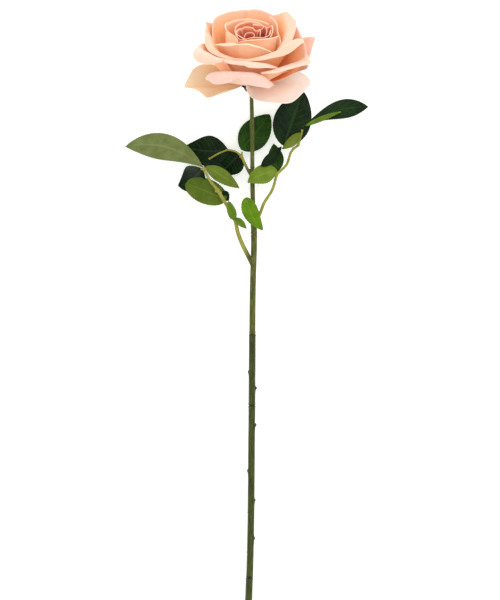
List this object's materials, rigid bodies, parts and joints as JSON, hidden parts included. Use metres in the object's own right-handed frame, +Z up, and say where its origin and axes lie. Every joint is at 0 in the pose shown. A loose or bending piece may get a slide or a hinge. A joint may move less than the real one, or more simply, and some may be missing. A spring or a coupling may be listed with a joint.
{
  "type": "artificial long-stemmed rose",
  "caption": "Long-stemmed artificial rose lying on its side: an open peach bloom of layered petals on a green calyx, a jointed olive stem with thorn buds, and branches of toothed leaflets.",
  "frame": {"origin": "middle of the bottom of the bounding box, on the surface the rose lies on", "axes": "+Y runs along the stem from its cut end to the bloom, +Z is up, +X is to the right when the bloom points away"},
  "size_m": [0.2134, 0.6, 0.0931],
  "materials": {
    "petal_heart": "satin",
    "petal_peach": "satin",
    "petal_pale": "satin",
    "core_foam": "matte",
    "calyx_green": "matte",
    "wire_steel": "satin",
    "stem_olive": "satin",
    "branch_green": "satin",
    "leaf_dark": "satin",
    "leaf_pale": "matte"
  },
  "bodies": {
    "root": {"heart_petal_1": "petal_heart", "heart_petal_2": "petal_heart", "heart_petal_3": "petal_heart", "bud_petal_1": "petal_heart", "bud_petal_2": "petal_heart", "bud_petal_3": "petal_heart", "bud_petal_4": "petal_heart", "bud_petal_5": "petal_heart", "inner_petal_1": "petal_peach", "inner_petal_2": "petal_peach", "inner_petal_3": "petal_peach", "inner_petal_4": "petal_peach", "inner_petal_5": "petal_peach", "cup_petal_1": "petal_peach", "cup_petal_2": "petal_peach", "cup_petal_3": "petal_peach", "cup_petal_4": "petal_peach", "cup_petal_5": "petal_peach", "outer_petal_1": "petal_peach", "outer_petal_2": "petal_peach", "outer_petal_3": "petal_peach", "outer_petal_4": "petal_peach", "outer_petal_5": "petal_peach", "outer_petal_6": "petal_peach", "skirt_petal_1": "petal_pale", "skirt_petal_2": "petal_pale", "skirt_petal_3": "petal_pale", "skirt_petal_4": "petal_pale", "fallen_petal_1": "petal_pale", "fallen_petal_2": "petal_pale", "bloom_core": "core_foam", "calyx": "calyx_green", "stem_wire": "wire_steel", "stem_sleeve_low": "stem_olive", "stem_sleeve_middle": "stem_olive", "stem_sleeve_high": "stem_olive", "stem_neck": "stem_olive", "branch_left": "branch_green", "branch_right": "branch_green", "branch_upper": "branch_green", "leaflet_left_1": "leaf_pale", "leaflet_left_2": "leaf_dark", "leaflet_left_3": "leaf_pale", "leaflet_left_4": "leaf_pale", "leaflet_left_5": "leaf_pale", "leaflet_left_6": "leaf_pale", "leaflet_left_7": "leaf_pale", "leaflet_right_1": "leaf_dark", "leaflet_right_2": "leaf_dark", "leaflet_right_3": "leaf_dark", "leaflet_right_4": "leaf_dark", "leaflet_right_5": "leaf_pale", "leaflet_right_6": "leaf_pale", "leaflet_upper_1": "leaf_dark", "leaflet_upper_2": "leaf_dark", "leaflet_upper_3": "leaf_dark"}
  },
  "joints": []
}
